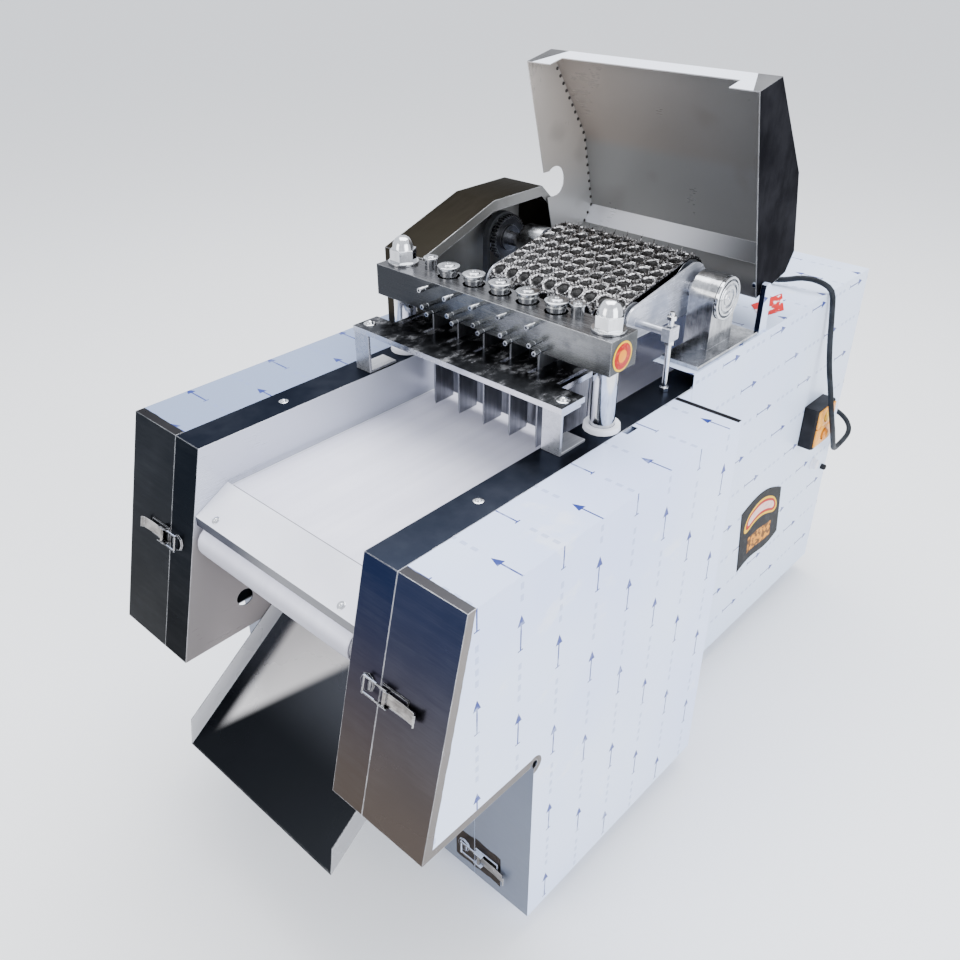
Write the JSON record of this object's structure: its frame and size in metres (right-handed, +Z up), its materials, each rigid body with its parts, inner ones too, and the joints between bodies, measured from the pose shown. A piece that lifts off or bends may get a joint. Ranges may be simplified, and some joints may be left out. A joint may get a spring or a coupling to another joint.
{
  "type": "meat cutting machine",
  "caption": "Bench-height meat cutting machine: belt conveyor, spiked press conveyor under an open hood, rising and falling knife head, discharge chute and hinged side covers.",
  "frame": {"origin": "centre of the bounding box of the machine without its cord, on the floor under the feet", "axes": "+X to the side with the switch box, +Y from the discharge chute towards the rear cabinet, +Z up"},
  "size_m": [0.64, 1.3881, 1.085],
  "materials": {
    "film_covered_steel": "stainless sheet with its protective film",
    "brushed_steel": "brushed stainless steel",
    "dark_steel": "brushed stainless steel that mirrors a dark room",
    "polished_steel": "polished",
    "blade_steel": "ground",
    "spiked_mat_steel": "pressed and polished",
    "cast_iron": "as cast",
    "white_belt": "smooth food belt",
    "white_plastic": "matt",
    "black_rubber": "matt",
    "cord_grey": "satin",
    "black_plastic": "matt",
    "amber_plastic": "satin",
    "yellow_plastic": "satin",
    "motor_paint": "semi gloss"
  },
  "bodies": {
    "machine_frame": {"base_casing": "film_covered_steel", "rear_cabinet": "film_covered_steel", "channel_right": "dark_steel", "channel_left": "dark_steel", "stripper_plate": "dark_steel", "chain_guard": "dark_steel", "foot_front_right": "black_rubber", "foot_front_left": "black_rubber", "foot_rear_right": "black_rubber", "foot_rear_left": "black_rubber", "drive_belt": "black_rubber", "conveyor_belt": "white_belt", "bed_plate": "white_plastic", "nose_plate": "white_plastic", "post_bush_right": "white_plastic", "post_bush_left": "white_plastic", "cord_gland": "white_plastic", "discharge_chute": "brushed_steel", "stripper_bracket_right": "brushed_steel", "stripper_bracket_left": "brushed_steel", "bearing_block_right": "polished_steel", "bearing_block_left": "polished_steel", "adjusting_screw": "polished_steel", "crank_stand": "cast_iron", "roller_chain": "cast_iron", "motor": "motor_paint", "switch_box": "black_plastic", "cord_plug": "black_plastic", "power_cord": "cord_grey", "cord_coil": "cord_grey"},
    "knife_head": {"crosshead": "dark_steel", "guide_post_right": "polished_steel", "guide_post_left": "polished_steel", "long_blade_1": "blade_steel", "long_blade_2": "blade_steel", "long_blade_3": "blade_steel", "long_blade_4": "blade_steel", "long_blade_5": "blade_steel", "cross_knife": "blade_steel", "yoke": "cast_iron"},
    "connecting_rod_right": {"connecting_rod_right": "cast_iron"},
    "connecting_rod_left": {"connecting_rod_left": "cast_iron"},
    "crankshaft": {"crankshaft": "cast_iron"},
    "motor_pulley": {"motor_pulley": "cast_iron"},
    "belt_drive_roller": {"belt_drive_roller": "brushed_steel"},
    "belt_front_roller": {"belt_front_roller": "brushed_steel"},
    "press_conveyor": {"press_frame": "brushed_steel", "press_mat": "spiked_mat_steel"},
    "press_front_roller": {"press_front_roller": "brushed_steel"},
    "press_shaft": {"press_shaft": "brushed_steel"},
    "jackshaft": {"jackshaft": "brushed_steel"},
    "hood": {"hood": "brushed_steel"},
    "side_cover_right": {"side_cover_right": "film_covered_steel"},
    "side_cover_left": {"side_cover_left": "film_covered_steel"},
    "upper_latch_right": {"upper_latch_right": "polished_steel"},
    "upper_latch_left": {"upper_latch_left": "polished_steel"},
    "lower_latch_right": {"lower_latch_right": "polished_steel"},
    "lower_latch_left": {"lower_latch_left": "polished_steel"},
    "start_button": {"start_button": "yellow_plastic"},
    "stop_button": {"stop_button": "amber_plastic"}
  },
  "joints": [
    {"name": "knife_head_slide", "type": "slide", "parent": "machine_frame", "child": "knife_head", "axis": [0, 0, 1], "range_m": [-0.012, 0.06]},
    {"name": "connecting_rod_right_swing", "type": "hinge", "parent": "knife_head", "child": "connecting_rod_right", "pos_m": [0.15, -0.15, 0.235], "axis": [1, 0, 0], "range_deg": [-35, 3]},
    {"name": "connecting_rod_left_swing", "type": "hinge", "parent": "knife_head", "child": "connecting_rod_left", "pos_m": [-0.15, -0.15, 0.235], "axis": [1, 0, 0], "range_deg": [-35, 3]},
    {"name": "crankshaft_spin", "type": "hinge", "parent": "machine_frame", "child": "crankshaft", "pos_m": [0, -0.15, 0.149], "axis": [1, 0, 0], "continuous": true},
    {"name": "motor_pulley_spin", "type": "hinge", "parent": "machine_frame", "child": "motor_pulley", "pos_m": [0, 0.287, 0.1203], "axis": [1, 0, 0], "continuous": true},
    {"name": "belt_drive_roller_spin", "type": "hinge", "parent": "machine_frame", "child": "belt_drive_roller", "pos_m": [0, 0.577, 0.5727], "axis": [1, 0, 0], "continuous": true},
    {"name": "belt_front_roller_spin", "type": "hinge", "parent": "machine_frame", "child": "belt_front_roller", "pos_m": [0, -0.558, 0.543], "axis": [1, 0, 0], "continuous": true},
    {"name": "press_shaft_spin", "type": "hinge", "parent": "machine_frame", "child": "press_shaft", "pos_m": [0, 0.147, 0.781], "axis": [1, 0, 0], "continuous": true},
    {"name": "press_front_roller_spin", "type": "hinge", "parent": "press_conveyor", "child": "press_front_roller", "pos_m": [0, 0.0005, 0.77], "axis": [1, 0, 0], "continuous": true},
    {"name": "jackshaft_spin", "type": "hinge", "parent": "machine_frame", "child": "jackshaft", "pos_m": [-0.21, 0.147, 0.53], "axis": [1, 0, 0], "continuous": true},
    {"name": "press_conveyor_lift", "type": "hinge", "parent": "machine_frame", "child": "press_conveyor", "pos_m": [0, 0.147, 0.781], "axis": [1, 0, 0], "range_deg": [-3.5, 0]},
    {"name": "hood_hinge", "type": "hinge", "parent": "machine_frame", "child": "hood", "pos_m": [0, 0.247, 0.772], "axis": [1, 0, 0], "range_deg": [0, 74.7]},
    {"name": "side_cover_right_hinge", "type": "hinge", "parent": "machine_frame", "child": "side_cover_right", "pos_m": [0.224, 0.004, 0.36], "axis": [0, 0, 1], "range_deg": [0, 80]},
    {"name": "side_cover_left_hinge", "type": "hinge", "parent": "machine_frame", "child": "side_cover_left", "pos_m": [-0.224, 0.004, 0.36], "axis": [0, 0, -1], "range_deg": [0, 65]},
    {"name": "upper_latch_right_pivot", "type": "hinge", "parent": "side_cover_right", "child": "upper_latch_right", "pos_m": [0.23, -0.59465, 0.53331], "axis": [0, -0.2383, -0.9712], "range_deg": [0, 100]},
    {"name": "upper_latch_left_pivot", "type": "hinge", "parent": "side_cover_left", "child": "upper_latch_left", "pos_m": [-0.23, -0.59465, 0.53331], "axis": [0, 0.2383, 0.9712], "range_deg": [0, 100]},
    {"name": "lower_latch_right_pivot", "type": "hinge", "parent": "side_cover_right", "child": "lower_latch_right", "pos_m": [0.23, -0.4395, 0.09], "axis": [0, 0, -1], "range_deg": [0, 100]},
    {"name": "lower_latch_left_pivot", "type": "hinge", "parent": "side_cover_left", "child": "lower_latch_left", "pos_m": [-0.23, -0.4395, 0.09], "axis": [0, 0, 1], "range_deg": [0, 100]},
    {"name": "start_button_press", "type": "slide", "parent": "machine_frame", "child": "start_button", "axis": [-1, 0, 0], "range_m": [0, 0.003], "stiffness_N_per_m": 400},
    {"name": "stop_button_press", "type": "slide", "parent": "machine_frame", "child": "stop_button", "axis": [-1, 0, 0], "range_m": [0, 0.003], "stiffness_N_per_m": 400}
  ],
  "couplings": [
    {"joint": "connecting_rod_left_swing", "follows": "connecting_rod_right_swing", "ratio": 1},
    {"joint": "motor_pulley_spin", "follows": "crankshaft_spin", "ratio": 2.0204},
    {"joint": "belt_front_roller_spin", "follows": "belt_drive_roller_spin", "ratio": 1.5909},
    {"joint": "press_front_roller_spin", "follows": "press_shaft_spin", "ratio": 1.5536},
    {"joint": "jackshaft_spin", "follows": "press_shaft_spin", "ratio": 1}
  ]
}
